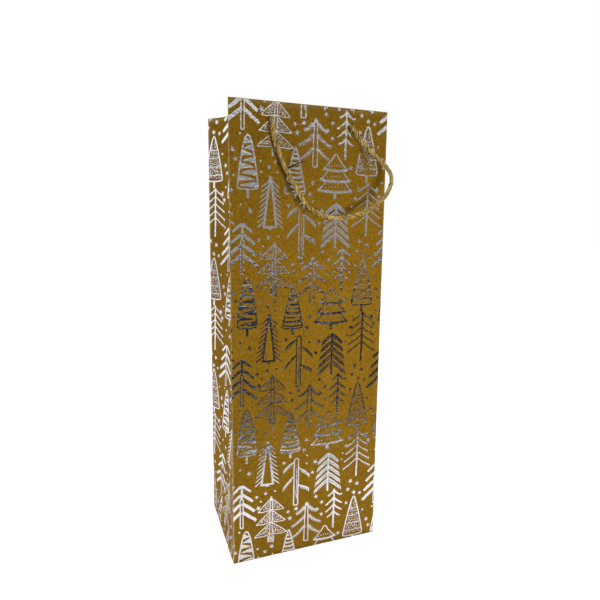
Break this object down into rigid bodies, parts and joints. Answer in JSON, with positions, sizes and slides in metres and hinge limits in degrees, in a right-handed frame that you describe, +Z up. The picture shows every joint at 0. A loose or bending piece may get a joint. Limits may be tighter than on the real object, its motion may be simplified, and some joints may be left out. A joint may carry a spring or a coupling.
{
  "type": "wine gift bag",
  "caption": "Tall folded kraft paper gift bag for one bottle, with tucked side gussets, a card-stiffened rim, a loose base card and two swinging twine loop handles.",
  "frame": {"origin": "middle of the base's outline, on the surface that the bag stands on", "axes": "+Z up along the bag's height, -Y out of the front panel, +X to the right seen from the front"},
  "size_m": [0.127, 0.1172, 0.3601],
  "materials": {
    "printed_kraft": "matt kraft with silver foil print",
    "plain_kraft": "matt unprinted inside of the kraft sheet",
    "grey_card": "matt greyboard",
    "jute_twine": "hairy twisted jute",
    "silver_foil": "hot-stamped bright silver foil, visual model only"
  },
  "bodies": {
    "bag": {"front_panel": "printed_kraft", "back_panel": "printed_kraft", "left_gusset_front": "printed_kraft", "left_gusset_rear": "printed_kraft", "left_gusset_foot": "printed_kraft", "right_gusset_front": "printed_kraft", "right_gusset_rear": "printed_kraft", "right_gusset_foot": "printed_kraft", "base_front_flap": "printed_kraft", "base_back_flap": "printed_kraft", "base_left_flap": "printed_kraft", "base_right_flap": "printed_kraft", "front_rim_turn_in": "plain_kraft", "back_rim_turn_in": "plain_kraft", "left_front_rim_turn_in": "plain_kraft", "left_rear_rim_turn_in": "plain_kraft", "right_front_rim_turn_in": "plain_kraft", "right_rear_rim_turn_in": "plain_kraft", "side_seam_tab": "plain_kraft", "front_rim_card": "grey_card", "back_rim_card": "grey_card", "front_left_knot": "jute_twine", "front_right_knot": "jute_twine", "back_left_knot": "jute_twine", "back_right_knot": "jute_twine"},
    "front_handle": {"front_handle_cord": "jute_twine"},
    "back_handle": {"back_handle_cord": "jute_twine"},
    "base_insert": {"base_board": "grey_card"}
  },
  "joints": [
    {"name": "front_handle_swing", "type": "hinge", "parent": "bag", "child": "front_handle", "pos_m": [0, -0.04616, 0.346], "axis": [-1, 0, 0], "range_deg": [0, 175]},
    {"name": "back_handle_swing", "type": "hinge", "parent": "bag", "child": "back_handle", "pos_m": [0, 0.04135, 0.346], "axis": [1, 0, 0], "range_deg": [0, 175]},
    {"name": "base_board_tilt", "type": "hinge", "parent": "bag", "child": "base_insert", "pos_m": [-0.0605, 0, 0.0024], "axis": [0, -1, 0], "range_deg": [0, 60]}
  ]
}
